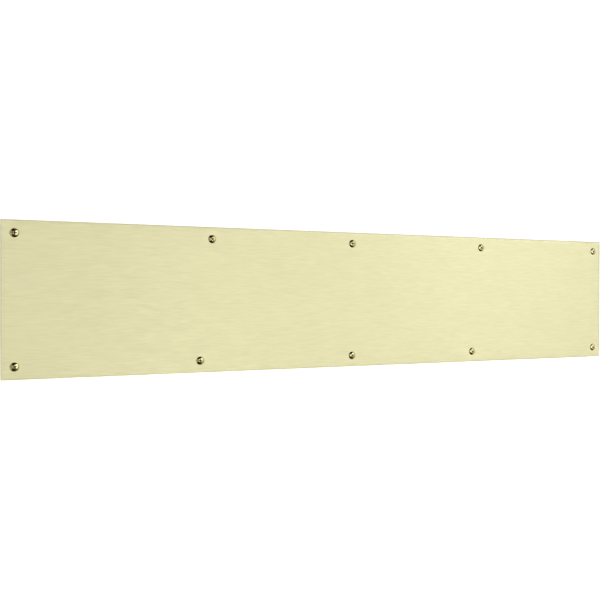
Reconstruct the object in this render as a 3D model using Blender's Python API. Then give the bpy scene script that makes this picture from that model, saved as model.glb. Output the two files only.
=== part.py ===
"""A brass kick plate with its ten oval-head wood screws, screwed home.

X runs along the plate, Z is up, and the front faces -Y. The back lies in the plane Y = 0, where it
rests on the door, and the origin is at the centre of the back. Lengths are in metres.
"""
import math

import bmesh
import bpy

INCH = 0.0254
GAP = 0.0003                       # clearance between a screw head and its countersink

# The sheet
PLATE_LENGTH = 30 * INCH
PLATE_HEIGHT = 6 * INCH
PLATE_THICKNESS = 0.050 * INCH
EDGE_BEVEL = 0.0008                # on the four front edges

# The holes. The pattern looks the same after a half turn about Y.
HOLE_INSET = 0.5 * INCH            # from a corner hole's centre to each of its two edges
WIDE_OFFSET = 0.1825               # from the middle to two of the inner holes
NEAR_OFFSET = 0.1695               # and to the other two, which stand a little closer in
HOLE_SIDES = 32
CUT_MARGIN = 0.001                 # how far a cutter runs past the sheet on each side

# The screws: number 8, three quarters of an inch, oval head
HEAD_RADIUS = 0.00415
HEAD_CONE_ANGLE = math.radians(82)
DOME_HEIGHT = 0.00132              # above the widest part of the head
RIM_HEIGHT = 0.00012               # short straight band at the widest part
SCREW_LENGTH = 0.75 * INCH         # from the widest part of the head to the tip
THREAD_RADIUS = 0.00208
ROOT_RADIUS = 0.00146
THREAD_PITCH = INCH / 15
RIDGE = (0.0, 0.30, 0.60)          # foot, crest and foot of the ridge, in pitches
CREST = 1                          # which of those is the crest
RUN_OUT = 0.0013                   # where the thread fades in under the head
POINT_LENGTH = 0.0050
CREST_HOLD = 1.15                  # over 1, the crest tapers later than the core does
TIP_RADIUS = 0.00012
HEAD_SIDES = 32
SHANK_SIDES = 16
DOME_RINGS = 4
TURN_STEP = math.radians(137.5)    # each screw's recess ends up at its own angle

# The cross recess
WING_REACH = 0.00235               # half the width across the wings, where they meet the dome
WING_LEVEL = 0.00092               # height of the dome's surface there
WING_FOOT = 0.00110                # half the width across the wings, at the bottom of the recess
WING_HALF = 0.00052                # half of a wing's own width, where it meets the dome
WING_HALF_FOOT = 0.00040           # and at the bottom of the recess
RECESS_DEPTH = 0.0024
RECESS_POINT = 0.0004              # the pointed floor below the wings

CONE_SLOPE = math.tan(HEAD_CONE_ANGLE / 2)
INTO_DOOR = math.radians(-90)      # turns a screw's own +Z, which points at its tip, to +Y
SHARP_ANGLE = math.radians(30)
MERGE_DISTANCE = 1e-6


def clear_scene():
    for item in list(bpy.data.objects):
        bpy.data.objects.remove(item, do_unlink=True)


def brass(name, colour, roughness):
    material = bpy.data.materials.new(name)
    material.use_nodes = True
    shader = material.node_tree.nodes["Principled BSDF"]
    shader.inputs["Base Color"].default_value = (*colour, 1.0)
    shader.inputs["Metallic"].default_value = 1.0
    shader.inputs["Roughness"].default_value = roughness
    return material


def mesh_from(bm, name):
    bmesh.ops.recalc_face_normals(bm, faces=bm.faces)
    mesh = bpy.data.meshes.new(name)
    bm.to_mesh(mesh)
    bm.free()
    return mesh


def add_object(name, mesh, material=None):
    item = bpy.data.objects.new(name, mesh)
    bpy.context.scene.collection.objects.link(item)
    if material and not mesh.materials:
        mesh.materials.append(material)
    return item


def hide_cutter(item):
    item.hide_render = True
    item.display_type = 'WIRE'


def cut(item, cutter):
    modifier = item.modifiers.new(cutter.name, 'BOOLEAN')
    modifier.operation = 'DIFFERENCE'
    modifier.solver = 'EXACT'
    modifier.object = cutter


def hole_places():
    """The name and the (x, z) of each hole, left to right along the top and then the bottom."""
    end = PLATE_LENGTH / 2 - HOLE_INSET
    height = PLATE_HEIGHT / 2 - HOLE_INSET
    top = (-end, -NEAR_OFFSET, 0.0, WIDE_OFFSET, end)
    bottom = [-x for x in reversed(top)]
    rows = (("top", top, height), ("bottom", bottom, -height))
    return [(f"{row}_{i + 1}", x, z) for row, xs, z in rows for i, x in enumerate(xs)]


# ---- the sheet ----

def on_front(edge):
    return all(abs(v.co.y + PLATE_THICKNESS) < GAP for v in edge.verts)


def sheet_mesh():
    bm = bmesh.new()
    bmesh.ops.create_cube(bm, size=1.0)
    bmesh.ops.scale(bm, verts=bm.verts, vec=(PLATE_LENGTH, PLATE_THICKNESS, PLATE_HEIGHT))
    bmesh.ops.translate(bm, verts=bm.verts, vec=(0, -PLATE_THICKNESS / 2, 0))
    front_edges = [e for e in bm.edges if on_front(e)]
    bmesh.ops.bevel(bm, geom=front_edges, offset=EDGE_BEVEL, segments=1, affect='EDGES')
    return mesh_from(bm, "kick_plate")


def countersink_mesh():
    """A cone that cuts the hole, with the head's slope and a gap all round."""
    front = HEAD_RADIUS + GAP + CUT_MARGIN * CONE_SLOPE
    depth = PLATE_THICKNESS + 2 * CUT_MARGIN
    bm = bmesh.new()
    bmesh.ops.create_cone(bm, cap_ends=True, segments=HOLE_SIDES, radius1=front,
                          radius2=front - depth * CONE_SLOPE, depth=depth)
    bmesh.ops.translate(bm, verts=bm.verts, vec=(0, 0, depth / 2 - CUT_MARGIN))
    return mesh_from(bm, "countersink")


def make_plate(material):
    plate = add_object("kick_plate", sheet_mesh(), material)
    cutter_mesh = countersink_mesh()
    for name, x, z in hole_places():
        cutter = add_object(f"countersink_{name}", cutter_mesh)
        place_on_hole(cutter, x, z)
        hide_cutter(cutter)
        cut(plate, cutter)


# ---- the screws: the axis is the mesh's own Z, and the head's widest part is at zero ----

def ring(bm, radius, z, sides):
    turn = 2 * math.pi / sides
    return [bm.verts.new((radius * math.cos(i * turn), radius * math.sin(i * turn), z))
            for i in range(sides)]


def join_rings(bm, first, second):
    """Faces between two rings. The second has as many vertices as the first, or half as many."""
    step = len(first) // len(second)
    count = len(second)
    for i in range(count):
        here, after = second[i], second[(i + 1) % count]
        band = [first[(i * step + k) % len(first)] for k in range(step + 1)]
        if step == 1:
            bm.faces.new((band[0], band[1], after, here))
        else:
            bm.faces.new((band[0], band[1], here))
            bm.faces.new((band[1], after, here))
            bm.faces.new((band[1], band[2], after))


def dome_profile():
    """(radius, z) of the raised dome, a shallow arc of a sphere, from its middle to the rim."""
    sphere = (HEAD_RADIUS ** 2 + DOME_HEIGHT ** 2) / (2 * DOME_HEIGHT)
    sweep = math.asin(HEAD_RADIUS / sphere)
    angles = [sweep * (i + 1) / DOME_RINGS for i in range(DOME_RINGS)]
    return [(sphere * math.sin(a), sphere * (1 - math.cos(a)) - DOME_HEIGHT) for a in angles]


def root_radius(z):
    """The bare core: straight down to the point, then a taper to the tip."""
    below = max(0.0, z - (SCREW_LENGTH - POINT_LENGTH)) / POINT_LENGTH
    return ROOT_RADIUS + (TIP_RADIUS - ROOT_RADIUS) * below


def ridge_height(z, start):
    """The thread fades in under the head, and out again towards the tip."""
    fade_in = min(1.0, max(0.0, (z - start) / RUN_OUT))
    fade_out = min(1.0, (SCREW_LENGTH - z) / POINT_LENGTH * CREST_HOLD)
    return (THREAD_RADIUS - ROOT_RADIUS) * fade_in * fade_out


def thread_rows(bm, start):
    """Rows of vertices that climb one pitch in each turn, cut off level at both ends.

    Each turn of the screw has a foot, a crest and a foot again. A row's last vertex lies on the
    row three further on, so the strip closes on itself as a right-handed thread.
    """
    turns = math.ceil((SCREW_LENGTH - start) / THREAD_PITCH) + 1
    rows = []
    for number in range(-len(RIDGE), turns * len(RIDGE)):
        turn, mark = divmod(number, len(RIDGE))
        row = []
        for i in range(SHANK_SIDES + 1):
            share = i / SHANK_SIDES
            z = start + THREAD_PITCH * (turn + RIDGE[mark] + share)
            z = min(SCREW_LENGTH, max(start, z))
            radius = root_radius(z)
            if mark == CREST:
                radius += ridge_height(z, start)
            angle = 2 * math.pi * share
            row.append(bm.verts.new((radius * math.cos(angle), radius * math.sin(angle), z)))
        rows.append(row)
    return rows


def add_thread(bm, start):
    rows = thread_rows(bm, start)
    for above, below in zip(rows, rows[1:]):
        for i in range(SHANK_SIDES):
            bm.faces.new((above[i], above[i + 1], below[i + 1], below[i]))


def screw_blank():
    """The turned head and the threaded shank, without the recess."""
    bm = bmesh.new()
    top = bm.verts.new((0, 0, -DOME_HEIGHT))
    cone_end = (HEAD_RADIUS - ROOT_RADIUS) / CONE_SLOPE + RIM_HEIGHT
    rings = [ring(bm, radius, z, HEAD_SIDES) for radius, z in dome_profile()]
    rings.append(ring(bm, HEAD_RADIUS, RIM_HEIGHT, HEAD_SIDES))
    rings.append(ring(bm, ROOT_RADIUS, cone_end, SHANK_SIDES))
    for i in range(HEAD_SIDES):
        bm.faces.new((top, rings[0][i], rings[0][(i + 1) % HEAD_SIDES]))
    for first, second in zip(rings, rings[1:]):
        join_rings(bm, first, second)
    add_thread(bm, cone_end)
    bmesh.ops.remove_doubles(bm, verts=bm.verts, dist=MERGE_DISTANCE)
    bmesh.ops.dissolve_degenerate(bm, edges=bm.edges, dist=MERGE_DISTANCE)
    bmesh.ops.holes_fill(bm, edges=bm.edges, sides=SHANK_SIDES)
    bmesh.ops.triangulate(bm, faces=bm.faces)
    return mesh_from(bm, "screw")


def cross_outline(reach, half):
    """The twelve corners of a plus sign."""
    corners = []
    for quarter in range(4):
        angle = quarter * math.pi / 2
        for along, across in ((reach, -half), (reach, half), (half, half)):
            corners.append((along * math.cos(angle) - across * math.sin(angle),
                            along * math.sin(angle) + across * math.cos(angle)))
    return corners


def recess_mesh():
    """A tapering cross with a pointed floor, open above the dome."""
    bm = bmesh.new()
    above = DOME_HEIGHT + CUT_MARGIN
    deep = RECESS_DEPTH - DOME_HEIGHT
    rise = (above - WING_LEVEL) / (deep + WING_LEVEL)
    reach = WING_REACH + (WING_REACH - WING_FOOT) * rise
    half = WING_HALF + (WING_HALF - WING_HALF_FOOT) * rise
    mouth = [bm.verts.new((x, y, -above)) for x, y in cross_outline(reach, half)]
    foot = [bm.verts.new((x, y, deep)) for x, y in cross_outline(WING_FOOT, WING_HALF_FOOT)]
    floor = bm.verts.new((0, 0, deep + RECESS_POINT))
    bm.faces.new(mouth)
    for i, corner in enumerate(mouth):
        after = (i + 1) % len(mouth)
        bm.faces.new((corner, mouth[after], foot[after], foot[i]))
        bm.faces.new((foot[i], foot[after], floor))
    return mesh_from(bm, "recess")


def screw_mesh(material):
    """The finished screw as one plain mesh, for all ten to share."""
    blank = add_object("screw_blank", screw_blank(), material)
    cutter = add_object("recess_cutter", recess_mesh())
    hide_cutter(cutter)
    cut(blank, cutter)
    graph = bpy.context.evaluated_depsgraph_get()
    mesh = bpy.data.meshes.new_from_object(blank.evaluated_get(graph))
    mesh.name = "oval_head_screw"
    mesh.shade_smooth()
    mesh.set_sharp_from_angle(angle=SHARP_ANGLE)
    bpy.data.objects.remove(blank)
    bpy.data.objects.remove(cutter)
    return mesh


def place_on_hole(item, x, z, turn=0.0):
    """The item's own Z goes into the door, and its zero is on the plate's front face."""
    item.location = (x, -PLATE_THICKNESS, z)
    item.rotation_euler = (INTO_DOOR, turn, 0.0)


def make_screws(material):
    mesh = screw_mesh(material)
    for number, (name, x, z) in enumerate(hole_places()):
        screw = add_object(f"screw_{name}", mesh)
        place_on_hole(screw, x, z, TURN_STEP * number)


def main():
    clear_scene()
    satin = brass("satin_brass", (0.80, 0.76, 0.50), 0.35)
    polished = brass("polished_brass", (0.78, 0.70, 0.38), 0.12)
    make_plate(satin)
    make_screws(polished)


main()
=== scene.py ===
import math

import bmesh
import bpy
from mathutils import Matrix, Vector


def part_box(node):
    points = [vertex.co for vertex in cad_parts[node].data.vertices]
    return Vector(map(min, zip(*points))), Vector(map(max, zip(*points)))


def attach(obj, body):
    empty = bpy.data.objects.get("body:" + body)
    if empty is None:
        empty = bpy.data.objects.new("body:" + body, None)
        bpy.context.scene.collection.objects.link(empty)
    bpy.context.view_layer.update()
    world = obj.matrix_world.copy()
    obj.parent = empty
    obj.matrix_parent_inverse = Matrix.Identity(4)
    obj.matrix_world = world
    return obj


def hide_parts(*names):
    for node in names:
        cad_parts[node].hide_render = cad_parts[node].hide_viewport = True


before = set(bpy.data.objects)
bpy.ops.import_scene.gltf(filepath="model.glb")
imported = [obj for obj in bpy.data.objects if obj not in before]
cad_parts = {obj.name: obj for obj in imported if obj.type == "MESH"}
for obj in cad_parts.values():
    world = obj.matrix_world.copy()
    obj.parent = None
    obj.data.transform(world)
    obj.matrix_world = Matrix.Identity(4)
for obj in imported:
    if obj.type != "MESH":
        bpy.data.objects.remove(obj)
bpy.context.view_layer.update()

MM = 0.001
INCH = 0.0254

# The sheet's front edges are bevelled, and every arris is eased. Depths run from the front.
BEVEL = 0.8 * MM
BEVEL_EASE = 0.18 * MM
SIDE_EASE = 0.12 * MM
BACK_EASE = 0.06 * MM
BACK_MARGIN = 0.2 * MM             # flat metal behind, that an edge's profile starts from
ROLL_WIDTH = 4.0 * MM              # the front rolls over by a hair where the sheet was sheared
ROLL_DROP = 0.15 * MM
ROLL_STEPS = 6

# The countersinks
SEAT_CLEARANCE = 0.15 * MM         # at the surface, between a head's rim and its countersink
SEAT_EASE = 0.05 * MM
SEAT_MARGIN = 0.2 * MM             # flat metal beside a mouth, that its profile starts from
HOLE_SQUARE = 6.0 * MM             # half of the square patch of faces around a hole
SIDE_CELLS = 16                    # faces along one side of that patch
PATCH_RINGS = 3
WIDE_CELL = 14.0 * MM              # the sheet's faces between the patches
SHEET_CREASE = math.radians(40)    # steeper edges than this are shaded sharp

# The screws: number 8, three quarters of an inch long, as in the solid model
HEAD_RADIUS = 4.15 * MM
HEAD_SLOPE = math.tan(math.radians(82) / 2)
DOME_HEIGHT = 1.32 * MM
DOME_SPHERE = (HEAD_RADIUS ** 2 + DOME_HEIGHT ** 2) / (2 * DOME_HEIGHT)
RIM_HEIGHT = 0.12 * MM
RIM_EASE = 0.05 * MM
CONE_EASE = 0.04 * MM
NECK_ARC = 0.30 * MM               # between the cone and the shank
SCREW_LENGTH = 0.75 * INCH
THREAD_RADIUS = 2.08 * MM
ROOT_RADIUS = 1.46 * MM
THREAD_PITCH = INCH / 15
# One ridge of the thread: places along the pitch, and the height there, as shares of the whole
RIDGE = ((0.0, 0.0), (0.16, 0.04), (0.27, 0.20), (0.455, 1.0), (0.50, 1.0), (0.685, 0.20),
         (0.80, 0.04))
RUN_OUT = 1.3 * MM                 # the ridge rises over this length below the neck
POINT_LENGTH = 5.0 * MM
CREST_HOLD = 1.15                  # keeps the ridge nearly full until close to the tip
TIP_RADIUS = 0.06 * MM
NECK = 0.35 * MM                   # plain shank under the head
TURN_STEP = math.radians(137.5)    # each recess stands at its own angle
SCREW_CREASE = math.radians(35)
MERGE = 0.001 * MM

# The cross recess
WING_REACH = 2.35 * MM
WING_HALF = 0.52 * MM
WING_FOOT = 1.10 * MM
WING_HALF_FOOT = 0.40 * MM
WEB = 0.22 * MM                    # fills the corners between the wings
RECESS_DEPTH = 2.4 * MM
RECESS_POINT = 0.4 * MM
LIP = 0.05 * MM
TIP_STEPS = 3
SIDE_STEPS = 6
RING_COUNT = 8 * (TIP_STEPS + SIDE_STEPS)
WALL_RINGS = 4
DOME_RINGS = 14
DOME_EDGE = 0.975                  # where the dome hands over to the turned rim

# Brass, as linear colours
SATIN_LIGHT = (0.650, 0.625, 0.379)
SATIN_DARK = (0.564, 0.539, 0.317)
SATIN_METALLIC = 0.6               # under 1, so that the face stays pale from every side
SATIN_ROUGHNESS = (0.40, 0.30)     # where it is darkest, and where it is lightest
SATIN_ANISOTROPY = 0.75
QUARTER_TURN = 0.25                # turns the spread of the gloss across the brushing
CUT_METAL = (0.720, 0.680, 0.448)
# The seats are painted darker than the cut metal: painted shade in the gap round each head.
SEAT_SHADE_LIGHT = (0.52, 0.43, 0.20)
SEAT_SHADE_DARK = (0.30, 0.23, 0.09)
MILL_LIGHT = (0.68, 0.61, 0.39)
MILL_DARK = (0.56, 0.48, 0.28)
POLISHED = (0.900, 0.820, 0.430)
# The darker brass below serves the dome's haze of tarnish and, as painted shade, the recess and the
# thread.
TARNISH_AND_SHADE = (0.30, 0.24, 0.09)
CUT_ROUGHNESS = (0.26, 0.20)       # darkest and lightest
MILL_ROUGHNESS = (0.42, 0.30)      # darkest and lightest
POLISHED_ROUGHNESS = (0.07, 0.34)  # where it is bright, and where it is hazed or in the recess's painted shade

# Patterns in the brass: the size of a mark along X, Y and Z, and each pattern's share of the whole
DEEP = 1.0                         # a size that leaves no change through the thickness
COARSE_MARK, COARSE_SHARE = (10 * MM, 0.42 * MM), 0.57
FINE_MARK, FINE_SHARE = (6 * MM, 0.23 * MM), 0.28
RELIEF_MARK, RELIEF_SHARE = (9 * MM, DEEP, 0.25 * MM), 0.15
CLOUD_SIZE, CLOUD_SHARE = (90 * MM, DEEP, 60 * MM), 0.07
SWAY_SIZE, SWAY_REACH = (36 * MM, DEEP, 14 * MM), 1.4 * MM    # the brushing wanders a little
CUT_MARK = (8 * MM, 0.15 * MM, 0.15 * MM)
ROLLED_MARK, ROLLED_SHARE = (140 * MM, DEEP, 1.6 * MM), 0.55
STAIN_SIZE, STAIN_SHARE = (110 * MM, DEEP, 60 * MM), 0.45
HAZE_SIZE, HAZE_SHARE = (0.9 * MM,) * 3, 0.10
RECESS_SHADE_DEPTH, RECESS_SHADE_SHARE = (0.10 * MM, 0.90 * MM), 0.90         # painted shade, fading in below the dome's own surface
POLISH_MARK = (0.05 * MM, 0.6 * MM, 0.6 * MM)
SHEET_RELIEF = 0.02 * MM           # heights of the bumps
POLISH_RELIEF = 0.004 * MM

WHITE = (1.0, 1.0, 1.0)

# The camera, placed from the plate's centre
CAMERA_OFFSET = (-0.4933, -0.8513, 0.0076)
CAMERA_TURN = math.radians(-26.651)
CAMERA_TILT = math.radians(-0.481)
CAMERA_ROLL = math.radians(0.165)
CAMERA_LENS = 51.85
SENSOR_WIDTH = 36
CLIP_START = 0.01

# The studio
FLOOR_DROP = 1.5
FLOOR_RADIUS = 24.0
FLOOR_SIDES = 96
FLOOR_COLOUR = (0.92, 0.92, 0.92)
FLOOR_ROUGHNESS = 0.9
SUN_STRENGTH = 3.9
SUN_ANGLE = math.radians(90)       # wide enough to leave no hard shadow

# The room in front of the plate, by bearing in degrees: 0 is -Y, and +90 is +X. First how bright
# the lit band is, then where it ends below and above, and how bright the room is beyond it.
BAND_LEVEL = ((-90, 1.75), (-78, 1.31), (-66, 0.40), (-50, 0.34), (-18, 0.32), (-8, 1.10),
              (-1, 1.75), (6, 1.36), (11, 1.22), (20, 1.64), (24, 1.62), (29, 1.29), (33, 1.50),
              (37, 1.80), (44, 1.72), (56, 0.85), (74, 0.47), (90, 0.56))
BAND_LOW = ((-44, -55), (-30, -20), (-15, -14), (5, -19), (12, -24), (90, -28))
BAND_HIGH = ((-44, 55), (-30, 24), (-12, 19), (5, 24), (12, 28), (50, 36))
BAND_FADE = 2.5                    # half the width of the band's soft edges
BAND_SLOPE = ((4, -0.008), (14, -0.020), (22, -0.020), (36, 0.020))   # change for a degree up
SLOPE_REACH = 14                   # degrees up or down over which the level changes
BEYOND_LEVEL = ((5, 0.010), (30, 0.020), (52, 0.07), (72, 0.25), (88, 1.06))
BEYOND_COLOUR = (1.0, 0.78, 0.22)
BEHIND_LEVEL = ((-50, 1.30), (50, 1.06))   # by height: from the floor and from the ceiling
FRONT_EDGE = (-0.10, -0.01)        # Y of a direction, where the front gives way to the white room
POLE_HEIGHT = 0.62                 # beyond this Z of a direction, the white room reaches
POLE_REACH = 0.7                   # further forward, by this much for each unit


# ---- small helpers ----

def even(start, stop, count):
    return [start + (stop - start) * i / count for i in range(count + 1)]


def rounded(corners, radii, steps=4):
    """The line through these 2-D corners, with an arc in place of each corner but the ends."""
    points = [Vector(corners[0])]
    for before, corner, after, radius in zip(corners, corners[1:], corners[2:], radii):
        corner = Vector(corner)
        back = (Vector(before) - corner).normalized()
        onward = (Vector(after) - corner).normalized()
        half = back.angle(onward) / 2
        start = corner + back * radius / math.tan(half)
        stop = corner + onward * radius / math.tan(half)
        centre = corner + (back + onward).normalized() * radius / math.sin(half)
        for i in range(steps + 1):
            points.append(centre + (start.lerp(stop, i / steps) - centre).normalized() * radius)
    points.append(Vector(corners[-1]))
    return points


def bridge(bm, first, second, material=0):
    """Quads between two closed loops of as many vertices."""
    for i in range(len(first)):
        after = (i + 1) % len(first)
        face = bm.faces.new((first[i], first[after], second[after], second[i]))
        face.material_index = material


def finished(bm, name, sharp):
    bmesh.ops.recalc_face_normals(bm, faces=bm.faces)
    mesh = bpy.data.meshes.new(name)
    bm.to_mesh(mesh)
    bm.free()
    mesh.shade_smooth()
    mesh.set_sharp_from_angle(angle=sharp)
    return mesh


def add_object(name, data):
    item = bpy.data.objects.new(name, data)
    bpy.context.scene.collection.objects.link(item)
    return item


# ---- the sheet ----

def grid_lines(low, high, centres):
    """Lines across the sheet: fine over each hole's patch, and wide in between."""
    lines = [low]
    for centre in sorted(centres):
        gap = centre - HOLE_SQUARE - lines[-1]
        lines += even(lines[-1], centre - HOLE_SQUARE, math.ceil(gap / WIDE_CELL))[1:]
        lines += even(centre - HOLE_SQUARE, centre + HOLE_SQUARE, SIDE_CELLS)[1:]
    gap = high - lines[-1]
    return lines + even(lines[-1], high, math.ceil(gap / WIDE_CELL))[1:]


def nearest(lines, value):
    return min(range(len(lines)), key=lambda i: abs(lines[i] - value))


def around(i0, j0, i1, j1):
    """The grid points round a rectangle, anticlockwise from its lower right corner."""
    right = [(i1, j) for j in range(j0, j1)]
    top = [(i, j1) for i in range(i1, i0, -1)]
    left = [(i0, j) for j in range(j1, j0, -1)]
    bottom = [(i, j0) for i in range(i0, i1)]
    return right + top + left + bottom


class Sheet:
    """The plate as a grid of quads on the front and the back, joined by its edges and holes."""

    FRONT, CUT, BACK, SEAT = 0, 1, 2, 3

    def __init__(self, low, high, holes):
        self.low, self.high, self.holes = low, high, holes
        self.bm = bmesh.new()
        self.xs = grid_lines(low.x, high.x, {x for x, z in holes})
        self.zs = grid_lines(low.z, high.z, {z for x, z in holes})
        self.thickness = high.y - low.y
        self.front = self.face_grid(0.0, BEVEL + ROLL_WIDTH, self.FRONT)
        self.back = self.face_grid(self.thickness, BACK_MARGIN, self.BACK)
        self.add_edges()
        for hole in holes:
            self.add_hole(*hole)

    def corner(self, i, j, depth, inset):
        """The point on lines i and j, drawn in from the rim by the inset if it is on the rim."""
        x_side = (i == len(self.xs) - 1) - (i == 0)
        z_side = (j == len(self.zs) - 1) - (j == 0)
        return (self.xs[i] - x_side * inset, self.low.y + depth, self.zs[j] - z_side * inset)

    def patch(self, x, z):
        """The grid lines that bound a hole's square patch."""
        return (nearest(self.xs, x - HOLE_SQUARE), nearest(self.zs, z - HOLE_SQUARE),
                nearest(self.xs, x + HOLE_SQUARE), nearest(self.zs, z + HOLE_SQUARE))

    def face_grid(self, depth, inset, material):
        across, up = len(self.xs), len(self.zs)
        patches = [self.patch(x, z) for x, z in self.holes]
        inside = {(i, j) for i0, j0, i1, j1 in patches
                  for i in range(i0, i1) for j in range(j0, j1)}
        hidden = {(i, j) for i0, j0, i1, j1 in patches
                  for i in range(i0 + 1, i1) for j in range(j0 + 1, j1)}
        verts = {(i, j): self.bm.verts.new(self.corner(i, j, depth, inset))
                 for i in range(across) for j in range(up) if (i, j) not in hidden}
        for i in range(across - 1):
            for j in range(up - 1):
                if (i, j) not in inside:
                    spots = ((i, j), (i + 1, j), (i + 1, j + 1), (i, j + 1))
                    face = self.bm.faces.new([verts[spot] for spot in spots])
                    face.material_index = material
        return verts

    def add_edges(self):
        """The bevel and the square side, all the way round."""
        rim = around(0, 0, len(self.xs) - 1, len(self.zs) - 1)
        roll = [(BEVEL + ROLL_WIDTH * (1 - share), ROLL_DROP * share ** 2)
                for share in even(0, 1, ROLL_STEPS)]
        edge = rounded((roll[-2], roll[-1], (0, BEVEL),
                        (0, self.thickness), (BACK_MARGIN, self.thickness)),
                       (BEVEL_EASE, SIDE_EASE, BACK_EASE))
        loop = [self.front[spot] for spot in rim]
        for inset, depth in roll[1:-1] + edge[1:-1]:
            after = [self.bm.verts.new(self.corner(i, j, depth, inset)) for i, j in rim]
            bridge(self.bm, loop, after, self.FRONT if inset > BEVEL else self.CUT)
            loop = after
        bridge(self.bm, loop, [self.back[spot] for spot in rim], self.BACK)

    def add_hole(self, x, z):
        """A countersink, with the square patches around its two mouths."""
        spots = around(*self.patch(x, z))
        start = SIDE_CELLS // 2
        spots = spots[start:] + spots[:start]
        angles = [2 * math.pi * k / len(spots) for k in range(len(spots))]

        def circle(radius, depth):
            return [Vector((x + radius * math.cos(a), self.low.y + depth,
                            z + radius * math.sin(a))) for a in angles]

        def rings_to(loop, target):
            starts = [v.co.copy() for v in loop]
            for share in even(0, 1, PATCH_RINGS)[1:]:
                yield [a.lerp(b, share) for a, b in zip(starts, target)]

        mouth = HEAD_RADIUS + SEAT_CLEARANCE
        throat = mouth - self.thickness * HEAD_SLOPE
        profile = rounded(((mouth + SEAT_MARGIN, 0), (mouth, 0), (throat, self.thickness),
                           (throat + SEAT_MARGIN, self.thickness)), (SEAT_EASE, SEAT_EASE))
        loop = [self.front[spot] for spot in spots]
        for ring in rings_to(loop, circle(*profile[0])):
            loop = self.next_loop(loop, ring, self.FRONT)
        for radius, depth in profile[1:]:
            loop = self.next_loop(loop, circle(radius, depth), self.SEAT)
        back = [self.back[spot] for spot in spots]
        rings = [loop]
        for ring in reversed(list(rings_to(back, [v.co for v in loop]))[:-1]):
            rings.append([self.bm.verts.new(co) for co in ring])
        rings.append(back)
        for first, second in zip(rings, rings[1:]):
            bridge(self.bm, first, second, self.BACK)

    def next_loop(self, loop, places, material):
        after = [self.bm.verts.new(co) for co in places]
        bridge(self.bm, loop, after, material)
        return after

    def mesh(self):
        layer = self.bm.loops.layers.uv.new("along")
        for face in self.bm.faces:
            for corner in face.loops:
                corner[layer].uv = (corner.vert.co.x, corner.vert.co.z)
        return finished(self.bm, "brushed_sheet", SHEET_CREASE)


# ---- the screws: the axis is the mesh's own Z, with the head's widest part at zero ----

def dome_z(radius):
    return DOME_SPHERE - DOME_HEIGHT - math.sqrt(DOME_SPHERE ** 2 - radius ** 2)


def cross(reach, half):
    """A plus sign with filled-in inner corners: its outline as RING_COUNT 2-D points."""
    octant = [(reach, half * i / TIP_STEPS) for i in range(TIP_STEPS)]
    inner = half + WEB
    for i in range(SIDE_STEPS):
        share = i / SIDE_STEPS
        rise = WEB * max(0.0, share * 2 - 1) ** 2
        octant.append((reach + (inner - reach) * share, half + rise))
    quarter = octant + [(inner, inner)] + [(y, x) for x, y in reversed(octant[1:])]
    outline = []
    for turn in range(4):
        c, s = ((1, 0), (0, 1), (-1, 0), (0, -1))[turn]
        outline += [Vector((x * c - y * s, x * s + y * c)) for x, y in quarter]
    return outline


def circle(radius):
    step = 2 * math.pi / RING_COUNT
    return [Vector((radius * math.cos(i * step), radius * math.sin(i * step)))
            for i in range(RING_COUNT)]


def recess_rings():
    """From the recess's floor up its walls and over its lip, as lists of 3-D points."""
    deep = RECESS_DEPTH - DOME_HEIGHT
    foot = [p.to_3d() + Vector((0, 0, deep)) for p in cross(WING_FOOT, WING_HALF_FOOT)]
    mouth = [Vector((*p, dome_z(p.length) + LIP)) for p in cross(WING_REACH, WING_HALF)]
    rings = [[a.lerp(b, share) for a, b in zip(foot, mouth)] for share in even(0, 1, WALL_RINGS)]
    for angle in even(0, math.pi / 2, 3)[1:]:
        out, down = LIP * (1 - math.cos(angle)), LIP * (1 - math.sin(angle))
        outline = cross(WING_REACH + out, WING_HALF + out)
        rings.append([Vector((*p, dome_z(p.length) + down)) for p in outline])
    return rings


def dome_rings(outline):
    """Across the dome, from the recess's lip out to the rim."""
    inner = [p.to_2d() for p in outline]
    outer = circle(HEAD_RADIUS * DOME_EDGE)
    rings = []
    for share in even(0, 1, DOME_RINGS)[1:]:
        places = [a.lerp(b, share) for a, b in zip(inner, outer)]
        rings.append([Vector((*p, dome_z(p.length))) for p in places])
    return rings


def turned_rings():
    """The rim, the cone under the head and the neck."""
    start = HEAD_RADIUS * DOME_EDGE
    cone_end = RIM_HEIGHT + (HEAD_RADIUS - ROOT_RADIUS) / HEAD_SLOPE
    profile = rounded(((start, dome_z(start)), (HEAD_RADIUS, 0), (HEAD_RADIUS, RIM_HEIGHT),
                       (ROOT_RADIUS, cone_end), (ROOT_RADIUS, cone_end + NECK)),
                      (RIM_EASE, CONE_EASE, NECK_ARC))
    return [[Vector((*p, z)) for p in circle(radius)] for radius, z in profile[1:]]


def root_radius(z):
    below = max(0.0, z - (SCREW_LENGTH - POINT_LENGTH)) / POINT_LENGTH
    return ROOT_RADIUS + (TIP_RADIUS - ROOT_RADIUS) * below


def ridge_height(z, start):
    fade_in = min(1.0, max(0.0, (z - start) / RUN_OUT))
    fade_out = min(1.0, (SCREW_LENGTH - z) / POINT_LENGTH * CREST_HOLD)
    return (THREAD_RADIUS - ROOT_RADIUS) * fade_in * fade_out


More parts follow.
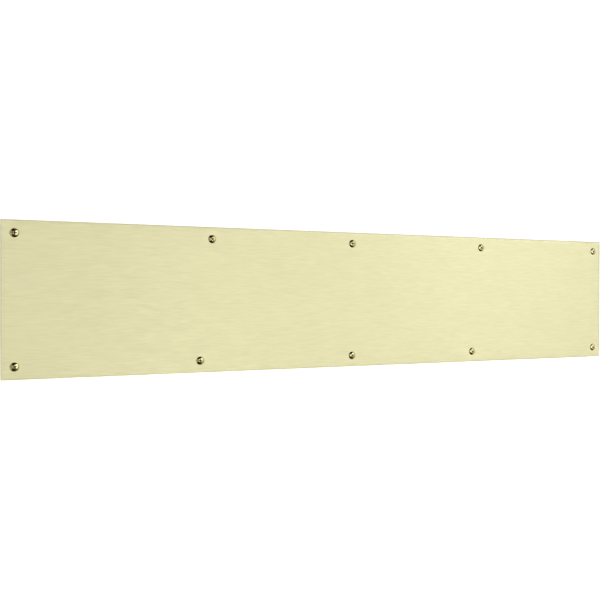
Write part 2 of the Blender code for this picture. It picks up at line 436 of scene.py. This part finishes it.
def add_thread(bm, start):
    """A right-handed thread: rows that climb one pitch in a turn, cut level at both ends."""
    columns = RING_COUNT // 2
    turns = math.ceil((SCREW_LENGTH - start) / THREAD_PITCH) + 1
    rows = []
    for number in range(-len(RIDGE), turns * len(RIDGE)):
        turn, mark = divmod(number, len(RIDGE))
        place, height = RIDGE[mark]
        row = []
        for share in even(0, 1, columns):
            z = start + THREAD_PITCH * (turn + place + share)
            z = min(SCREW_LENGTH, max(start, z))
            radius = root_radius(z) + ridge_height(z, start) * height
            angle = 2 * math.pi * share
            row.append(bm.verts.new((radius * math.cos(angle), radius * math.sin(angle), z)))
        rows.append(row)
    for above, below in zip(rows, rows[1:]):
        for i in range(columns):
            bm.faces.new((above[i], above[i + 1], below[i + 1], below[i]))


def screw_mesh():
    bm = bmesh.new()
    rings = recess_rings()
    rings += dome_rings(rings[-1])
    rings += turned_rings()
    loops = [[bm.verts.new(p) for p in ring] for ring in rings]
    floor = bm.verts.new((0, 0, RECESS_DEPTH - DOME_HEIGHT + RECESS_POINT))
    for i in range(RING_COUNT):
        bm.faces.new((floor, loops[0][i], loops[0][(i + 1) % RING_COUNT]))
    for first, second in zip(loops, loops[1:]):
        bridge(bm, first, second)
    start = rings[-1][0].z + NECK
    seam = [bm.verts.new((ROOT_RADIUS * math.cos(a), ROOT_RADIUS * math.sin(a), start))
            for a in even(0, 2 * math.pi, RING_COUNT // 2)[:-1]]
    neck = loops[-1]
    for i, here in enumerate(seam):
        after = seam[(i + 1) % len(seam)]
        band = [neck[(2 * i + k) % RING_COUNT] for k in range(3)]
        bm.faces.new((band[0], band[1], here))
        bm.faces.new((band[1], after, here))
        bm.faces.new((band[1], band[2], after))
    add_thread(bm, start)
    bmesh.ops.remove_doubles(bm, verts=bm.verts, dist=MERGE)
    bmesh.ops.dissolve_degenerate(bm, edges=bm.edges, dist=MERGE)
    bmesh.ops.holes_fill(bm, edges=bm.edges, sides=RING_COUNT)
    return finished(bm, "oval_head_screw", SCREW_CREASE)


# ---- materials ----

class Nodes:
    """Adds shader nodes to a tree. An input is either a value or another node's output."""

    def __init__(self, tree):
        self.tree = tree

    def add(self, kind, inputs=None, output=0, **settings):
        node = self.tree.nodes.new(kind)
        for key, value in settings.items():
            setattr(node, key, value)
        for key, value in (inputs or {}).items():
            self.put(node.inputs[key], value)
        return node.outputs[output]

    def put(self, socket, value):
        if isinstance(value, bpy.types.NodeSocket):
            self.tree.links.new(value, socket)
        else:
            socket.default_value = value

    def math(self, operation, *values, clamp=False):
        inputs = dict(enumerate(values))
        return self.add("ShaderNodeMath", inputs, operation=operation, use_clamp=clamp)

    def span(self, value, low, high, to_low=0.0, to_high=1.0, smooth=False):
        kind = 'SMOOTHSTEP' if smooth else 'LINEAR'
        inputs = {"Value": value, "From Min": low, "From Max": high,
                  "To Min": to_low, "To Max": to_high}
        return self.add("ShaderNodeMapRange", inputs, interpolation_type=kind)

    def blend(self, factor, first, second):
        """One number fading into another."""
        return self.add("ShaderNodeMix", {0: factor, 2: first, 3: second}, data_type='FLOAT')

    def curve(self, value, stops):
        """Straight lines through these (value, result) stops, level beyond the ends."""
        total = stops[0][1]
        for (start, before), (stop, after) in zip(stops, stops[1:]):
            step = self.span(value, start, stop, 0.0, after - before)
            total = self.math('ADD', step, total)
        return total

    def mix(self, factor, first, second):
        node = self.tree.nodes.new("ShaderNodeMix")
        node.data_type = 'RGBA'
        self.put(node.inputs[0], factor)
        self.put(node.inputs[6], first)
        self.put(node.inputs[7], second)
        return node.outputs[2]

    def noise(self, place, size, detail=2.0, roughness=0.5):
        """Noise from 0 to 1 whose cells have this size along X, Y and Z, in metres."""
        scale = tuple(1 / s for s in size)
        at = self.add("ShaderNodeMapping", {"Vector": place, "Scale": scale})
        inputs = {"Vector": at, "Scale": 1.0, "Detail": detail, "Roughness": roughness}
        return self.add("ShaderNodeTexNoise", inputs)

    def split(self, vector):
        node = self.tree.nodes.new("ShaderNodeSeparateXYZ")
        self.put(node.inputs[0], vector)
        return node.outputs

    def bump(self, height, distance, strength):
        inputs = {"Strength": strength, "Distance": distance, "Height": height}
        return self.add("ShaderNodeBump", inputs)

    def scratches(self, x, z, length, width):
        """Grey from 0 to 1 in rows along X, each row changing at random along its length."""
        row = self.math('FLOOR', self.math('DIVIDE', z, width))
        shift = self.add("ShaderNodeTexWhiteNoise", {"W": row}, noise_dimensions='1D')
        along = self.math('ADD', self.math('DIVIDE', x, length), shift)
        cell = self.math('FLOOR', along)
        share = self.span(self.math('FRACT', along), 0.0, 1.0, smooth=True)
        tones = []
        for place in (cell, self.math('ADD', cell, 1.0)):
            spot = self.add("ShaderNodeCombineXYZ", {0: place, 1: row})
            tones.append(self.add("ShaderNodeTexWhiteNoise", {"Vector": spot},
                                  noise_dimensions='2D'))
        return self.blend(share, *tones)


def colour(rgb):
    return (*rgb, 1.0)


def new_metal(name, **sockets):
    material = bpy.data.materials.new(name)
    material.use_nodes = True
    nodes = Nodes(material.node_tree)
    shader = material.node_tree.nodes["Principled BSDF"]
    shader.inputs["Metallic"].default_value = 1.0
    for key, value in sockets.items():
        shader.inputs[key.replace("_", " ")].default_value = value
    place = nodes.add("ShaderNodeTexCoord", output=3)
    return material, nodes, shader, place


def satin_brass():
    """Brushed along the length: streaks in the colour, the gloss and the surface."""
    material, nodes, shader, place = new_metal("satin_brass", Metallic=SATIN_METALLIC,
                                               Anisotropic=SATIN_ANISOTROPY,
                                               Anisotropic_Rotation=QUARTER_TURN)
    x, y, z = nodes.split(place)
    z = nodes.math('MULTIPLY_ADD', nodes.noise(place, SWAY_SIZE), SWAY_REACH, z)
    relief = nodes.noise(place, RELIEF_MARK)
    cloud = nodes.noise(place, CLOUD_SIZE, detail=1.0)
    streaks = nodes.math('MULTIPLY', nodes.span(relief, 0.30, 0.70), RELIEF_SHARE)
    for mark, share in ((COARSE_MARK, COARSE_SHARE), (FINE_MARK, FINE_SHARE)):
        streaks = nodes.math('MULTIPLY_ADD', nodes.scratches(x, z, *mark), share, streaks)
    tone = nodes.math('MULTIPLY_ADD', nodes.span(cloud, 0.30, 0.70), CLOUD_SHARE,
                      nodes.math('MULTIPLY', streaks, 1 - CLOUD_SHARE))
    nodes.put(shader.inputs["Base Color"], nodes.mix(tone, colour(SATIN_DARK), colour(SATIN_LIGHT)))
    nodes.put(shader.inputs["Roughness"], nodes.span(streaks, 0.20, 0.80, *SATIN_ROUGHNESS))
    nodes.put(shader.inputs["Normal"], nodes.bump(relief, SHEET_RELIEF, 0.25))
    nodes.put(shader.inputs["Tangent"],
              nodes.add("ShaderNodeTangent", direction_type='UV_MAP', uv_map="along"))
    return material


def cut_brass(name, dark, light):
    """Machined metal, glossier than the face: the bevel and sides, or the seats under the heads,
    whose darker colours are painted shade in the gap round each head.
    """
    material, nodes, shader, place = new_metal(name)
    marks = nodes.noise(place, CUT_MARK)
    nodes.put(shader.inputs["Base Color"],
              nodes.mix(nodes.span(marks, 0.3, 0.7), colour(dark), colour(light)))
    nodes.put(shader.inputs["Roughness"], nodes.span(marks, 0.3, 0.7, *CUT_ROUGHNESS))
    return material


def mill_brass():
    """The unbrushed back: rolled sheet, duller and slightly tarnished."""
    material, nodes, shader, place = new_metal("mill_brass")
    rolled = nodes.noise(place, ROLLED_MARK, detail=3.0)
    stain = nodes.noise(place, STAIN_SIZE, detail=5.0, roughness=0.6)
    tone = nodes.math('MULTIPLY_ADD', stain, STAIN_SHARE,
                      nodes.math('MULTIPLY', rolled, ROLLED_SHARE))
    tone = nodes.span(tone, 0.35, 0.65)
    nodes.put(shader.inputs["Base Color"], nodes.mix(tone, colour(MILL_DARK), colour(MILL_LIGHT)))
    nodes.put(shader.inputs["Roughness"], nodes.span(stain, 0.35, 0.65, *MILL_ROUGHNESS))
    nodes.put(shader.inputs["Normal"], nodes.bump(rolled, SHEET_RELIEF, 0.2))
    return material


def polished_brass():
    """Bright on the dome with a light haze of tarnish; duller and darker down in the recess and on
    the thread, where the darker colour is painted shade.
    """
    material, nodes, shader, place = new_metal("polished_brass")
    x, y, z = nodes.split(place)
    squared = nodes.math('MULTIPLY_ADD', x, x, nodes.math('MULTIPLY', y, y))
    drop = nodes.math('SQRT', nodes.math('SUBTRACT', DOME_SPHERE ** 2, squared))
    surface = nodes.math('SUBTRACT', DOME_SPHERE - DOME_HEIGHT, drop)
    # Painted shade: the brass turns darker below the dome's surface, down the recess and on the
    # thread.
    recess_shade = nodes.span(nodes.math('SUBTRACT', z, surface), *RECESS_SHADE_DEPTH, smooth=True)
    haze = nodes.noise(place, HAZE_SIZE, detail=3.0)
    haze_and_shade = nodes.math('MULTIPLY_ADD', nodes.span(haze, 0.35, 0.75), HAZE_SHARE,
                      nodes.math('MULTIPLY', recess_shade, RECESS_SHADE_SHARE))
    nodes.put(shader.inputs["Base Color"], nodes.mix(haze_and_shade, colour(POLISHED), colour(TARNISH_AND_SHADE)))
    nodes.put(shader.inputs["Roughness"], nodes.span(haze_and_shade, 0.0, 1.0, *POLISHED_ROUGHNESS))
    marks = nodes.noise(place, POLISH_MARK)
    nodes.put(shader.inputs["Normal"], nodes.bump(marks, POLISH_RELIEF, 0.10))
    return material


# ---- the pieces ----

def make_plate():
    low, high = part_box("kick_plate")
    holes = []
    for name in screw_names():
        centre = (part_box(name)[0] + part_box(name)[1]) / 2
        holes.append((round(centre.x, 5), round(centre.z, 5)))
    plate = add_object("brushed_sheet", Sheet(low, high, holes).mesh())
    # The fourth material, for the countersinks, is painted darker: painted shade in the gap round
    # each head.
    for material in (satin_brass(), cut_brass("cut_brass", SATIN_DARK, CUT_METAL), mill_brass(),
                     cut_brass("seat_painted_shade", SEAT_SHADE_DARK, SEAT_SHADE_LIGHT)):
        plate.data.materials.append(material)
    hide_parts("kick_plate")
    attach(plate, "kick_plate")


def screw_names():
    return [f"screw_{row}_{number}" for row in ("top", "bottom") for number in range(1, 6)]


def make_screws():
    mesh = screw_mesh()
    mesh.materials.append(polished_brass())
    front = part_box("kick_plate")[0].y
    for number, name in enumerate(screw_names()):
        low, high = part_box(name)
        screw = add_object(f"oval_head_{name}", mesh)
        screw.location = ((low.x + high.x) / 2, front, (low.z + high.z) / 2)
        screw.rotation_euler = (math.radians(-90), TURN_STEP * number, 0)
        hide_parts(name)
        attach(screw, name)


# ---- the studio ----

def make_floor(centre):
    bm = bmesh.new()
    bmesh.ops.create_circle(bm, cap_ends=True, radius=FLOOR_RADIUS, segments=FLOOR_SIDES)
    mesh = bpy.data.meshes.new("studio_floor")
    bm.to_mesh(mesh)
    bm.free()
    floor = add_object("studio_floor", mesh)
    floor.location = (centre.x, centre.y, centre.z - FLOOR_DROP)
    material = bpy.data.materials.new("pale_floor")
    material.use_nodes = True
    shader = material.node_tree.nodes["Principled BSDF"]
    shader.inputs["Base Color"].default_value = colour(FLOOR_COLOUR)
    shader.inputs["Roughness"].default_value = FLOOR_ROUGHNESS
    mesh.materials.append(material)
    floor.visible_glossy = False


def make_world():
    """White all round for the camera. Metal sees a white room behind the plate, and in front of it
    a broad soft light with darkness above and below."""
    world = bpy.data.worlds.new("studio")
    bpy.context.scene.world = world
    world.use_nodes = True
    nodes = Nodes(world.node_tree)
    x, y, z = nodes.split(nodes.add("ShaderNodeTexCoord", output=0))
    bearing = nodes.math('DEGREES', nodes.math('ARCTAN2', x, nodes.math('MULTIPLY', y, -1.0)))
    height = nodes.math('DEGREES', nodes.math('ARCSINE', z))
    low = nodes.curve(bearing, BAND_LOW)
    high = nodes.curve(bearing, BAND_HIGH)
    above_low = nodes.math('SUBTRACT', height, low)
    below_high = nodes.math('SUBTRACT', high, height)
    inside = nodes.math('MINIMUM', above_low, below_high)
    window = nodes.span(inside, -BAND_FADE, BAND_FADE, smooth=True)
    slope = nodes.curve(bearing, BAND_SLOPE)
    rise = nodes.span(height, -SLOPE_REACH, SLOPE_REACH, -SLOPE_REACH, SLOPE_REACH)
    tilt = nodes.math('MULTIPLY_ADD', slope, rise, 1.0)
    lit = nodes.math('MULTIPLY', nodes.curve(bearing, BAND_LEVEL), tilt)
    beyond = nodes.curve(bearing, BEYOND_LEVEL)
    front = nodes.blend(window, beyond, lit)
    polar = nodes.math('SUBTRACT', nodes.math('ABSOLUTE', z), POLE_HEIGHT)
    reach = nodes.math('MULTIPLY_ADD', nodes.math('MAXIMUM', 0.0, polar), POLE_REACH, y)
    facing = nodes.span(reach, *FRONT_EDGE, 1.0, 0.0, smooth=True)
    level = nodes.blend(facing, nodes.curve(height, BEHIND_LEVEL), front)
    seen = nodes.add("ShaderNodeLightPath", output=0)
    strength = nodes.math('MAXIMUM', level, seen)
    warm = nodes.math('MULTIPLY', nodes.math('SUBTRACT', 1.0, window), facing)
    warm = nodes.math('MULTIPLY', nodes.math('SUBTRACT', 1.0, seen), warm)
    background = world.node_tree.nodes["Background"]
    nodes.put(background.inputs["Color"], nodes.mix(warm, colour(WHITE), colour(BEYOND_COLOUR)))
    nodes.put(background.inputs["Strength"], strength)


def make_sun():
    light = bpy.data.lights.new("overhead_softlight", 'SUN')
    light.energy = SUN_STRENGTH
    light.angle = SUN_ANGLE
    sun = add_object("overhead_softlight", light)
    sun.visible_glossy = False


def make_camera(centre):
    camera = bpy.data.cameras.new("camera")
    camera.lens = CAMERA_LENS
    camera.sensor_width = SENSOR_WIDTH
    camera.clip_start = CLIP_START
    item = add_object("camera", camera)
    aim = Matrix.Rotation(CAMERA_TURN, 4, 'Z')
    aim = aim @ Matrix.Rotation(math.radians(90) + CAMERA_TILT, 4, 'X')
    aim = aim @ Matrix.Rotation(CAMERA_ROLL, 4, 'Z')
    item.matrix_world = Matrix.Translation(centre + Vector(CAMERA_OFFSET)) @ aim
    bpy.context.scene.camera = item


def main():
    low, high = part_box("kick_plate")
    centre = (low + high) / 2
    make_plate()
    make_screws()
    make_floor(centre)
    make_world()
    make_sun()
    make_camera(centre)
    bpy.context.scene.view_settings.view_transform = 'Standard'


main()
